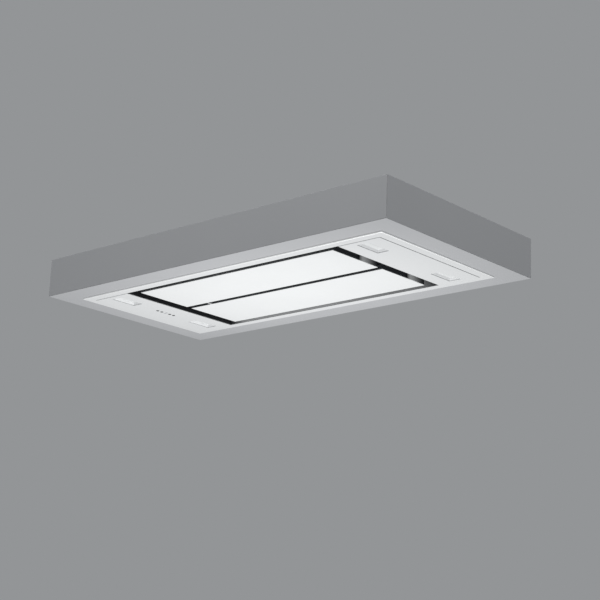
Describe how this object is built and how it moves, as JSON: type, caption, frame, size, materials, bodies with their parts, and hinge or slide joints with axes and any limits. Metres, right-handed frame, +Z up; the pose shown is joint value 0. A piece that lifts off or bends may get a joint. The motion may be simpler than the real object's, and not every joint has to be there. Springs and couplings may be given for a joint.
{
  "type": "island range hood",
  "caption": "Ceiling-mounted island range hood with a surround casing, hinged white suction panels, end lamps, push keys and a top duct collar.",
  "frame": {"origin": "centre of the ceiling plane, on the top face of the ceiling cross rail", "axes": "+Z up into the ceiling, +X along the hood from the control end to the lamp-only end, +Y across it from the near long side to the far one"},
  "size_m": [1.35, 0.67, 0.1646],
  "materials": {
    "grey_lacquer": "matt light grey lacquer on board",
    "white_powder_coat": "satin white powder coat",
    "white_glass": "opaque white back-painted glass",
    "black_coating": "satin black coating",
    "galvanised_steel": "spangled zinc",
    "polished_steel": "bright steel",
    "aluminium": "satin",
    "frosted_lens": "frosted white diffuser",
    "black_plastic": "fine-grained black",
    "grey_plastic": "grey moulding",
    "smoked_window": "light smoked window"
  },
  "bodies": {
    "hood": {"blower_housing": "galvanised_steel", "blower_motor": "aluminium", "casing_base": "grey_lacquer", "casing_corner_bracket_1": "galvanised_steel", "casing_corner_bracket_2": "galvanised_steel", "casing_corner_bracket_3": "galvanised_steel", "casing_corner_bracket_4": "galvanised_steel", "casing_side_far": "grey_lacquer", "casing_side_left": "grey_lacquer", "casing_side_near": "grey_lacquer", "casing_side_right": "grey_lacquer", "catch_bar_left": "black_plastic", "catch_bar_right": "black_plastic", "ceiling_cross_rail": "galvanised_steel", "ceiling_rail_far": "galvanised_steel", "ceiling_rail_near": "galvanised_steel", "chassis": "galvanised_steel", "control_display": "smoked_window", "control_housing": "grey_plastic", "end_plate_left": "white_powder_coat", "end_plate_right": "white_powder_coat", "face_frame": "white_powder_coat", "grease_filter_left": "aluminium", "grease_filter_right": "aluminium", "hanger_bolt_1": "polished_steel", "hanger_bolt_2": "polished_steel", "hanger_bolt_3": "polished_steel", "hanger_bolt_4": "polished_steel", "junction_box": "grey_plastic", "lamp_left_far_housing": "aluminium", "lamp_left_far_lens": "frosted_lens", "lamp_left_near_housing": "aluminium", "lamp_left_near_lens": "frosted_lens", "lamp_right_far_housing": "aluminium", "lamp_right_far_lens": "frosted_lens", "lamp_right_near_housing": "aluminium", "lamp_right_near_lens": "frosted_lens", "outlet_collar": "grey_plastic", "panel_far_hinge_pin_left": "polished_steel", "panel_far_hinge_pin_right": "polished_steel", "panel_near_hinge_pin_left": "polished_steel", "panel_near_hinge_pin_right": "polished_steel", "suction_tray": "black_coating"},
    "panel_near": {"panel_near_glass": "white_glass", "panel_near_tray": "black_coating", "panel_near_strike_left": "polished_steel", "panel_near_strike_right": "polished_steel"},
    "panel_far": {"panel_far_glass": "white_glass", "panel_far_tray": "black_coating", "panel_far_strike_left": "polished_steel", "panel_far_strike_right": "polished_steel"},
    "impeller": {"impeller": "black_plastic"},
    "damper_flap_left": {"damper_flap_left": "black_plastic"},
    "damper_flap_right": {"damper_flap_right": "black_plastic"},
    "control_key_1": {"control_key_1": "black_plastic"},
    "control_key_2": {"control_key_2": "black_plastic"},
    "control_key_3": {"control_key_3": "black_plastic"},
    "control_key_4": {"control_key_4": "black_plastic"},
    "filter_latch_left": {"filter_latch_left": "polished_steel"},
    "filter_latch_right": {"filter_latch_right": "polished_steel"}
  },
  "joints": [
    {"name": "panel_near_hinge", "type": "hinge", "parent": "hood", "child": "panel_near", "pos_m": [0, -0.2142, -0.1122], "axis": [-1, 0, 0], "range_deg": [0, 90]},
    {"name": "panel_far_hinge", "type": "hinge", "parent": "hood", "child": "panel_far", "pos_m": [0, 0.2142, -0.1122], "axis": [1, 0, 0], "range_deg": [0, 90]},
    {"name": "impeller_spin", "type": "hinge", "parent": "hood", "child": "impeller", "pos_m": [-0.12, 0.075, -0.05], "axis": [0, 0, 1], "continuous": true},
    {"name": "damper_left_hinge", "type": "hinge", "parent": "hood", "child": "damper_flap_left", "pos_m": [0.23, 0, 0], "axis": [0, 1, 0], "range_deg": [0, 80]},
    {"name": "damper_right_hinge", "type": "hinge", "parent": "hood", "child": "damper_flap_right", "pos_m": [0.24, 0, 0], "axis": [0, -1, 0], "range_deg": [0, 80]},
    {"name": "key_1_press", "type": "slide", "parent": "hood", "child": "control_key_1", "axis": [0, 0, 1], "range_m": [0, 0.0012], "stiffness_N_per_m": 400, "springref_m": -0.001},
    {"name": "key_2_press", "type": "slide", "parent": "hood", "child": "control_key_2", "axis": [0, 0, 1], "range_m": [0, 0.0012], "stiffness_N_per_m": 400, "springref_m": -0.001},
    {"name": "key_3_press", "type": "slide", "parent": "hood", "child": "control_key_3", "axis": [0, 0, 1], "range_m": [0, 0.0012], "stiffness_N_per_m": 400, "springref_m": -0.001},
    {"name": "key_4_press", "type": "slide", "parent": "hood", "child": "control_key_4", "axis": [0, 0, 1], "range_m": [0, 0.0012], "stiffness_N_per_m": 400, "springref_m": -0.001},
    {"name": "filter_latch_left_slide", "type": "slide", "parent": "hood", "child": "filter_latch_left", "axis": [0, 1, 0], "range_m": [0, 0.008], "stiffness_N_per_m": 250, "springref_m": -0.004},
    {"name": "filter_latch_right_slide", "type": "slide", "parent": "hood", "child": "filter_latch_right", "axis": [0, 1, 0], "range_m": [0, 0.008], "stiffness_N_per_m": 250, "springref_m": -0.004}
  ]
}
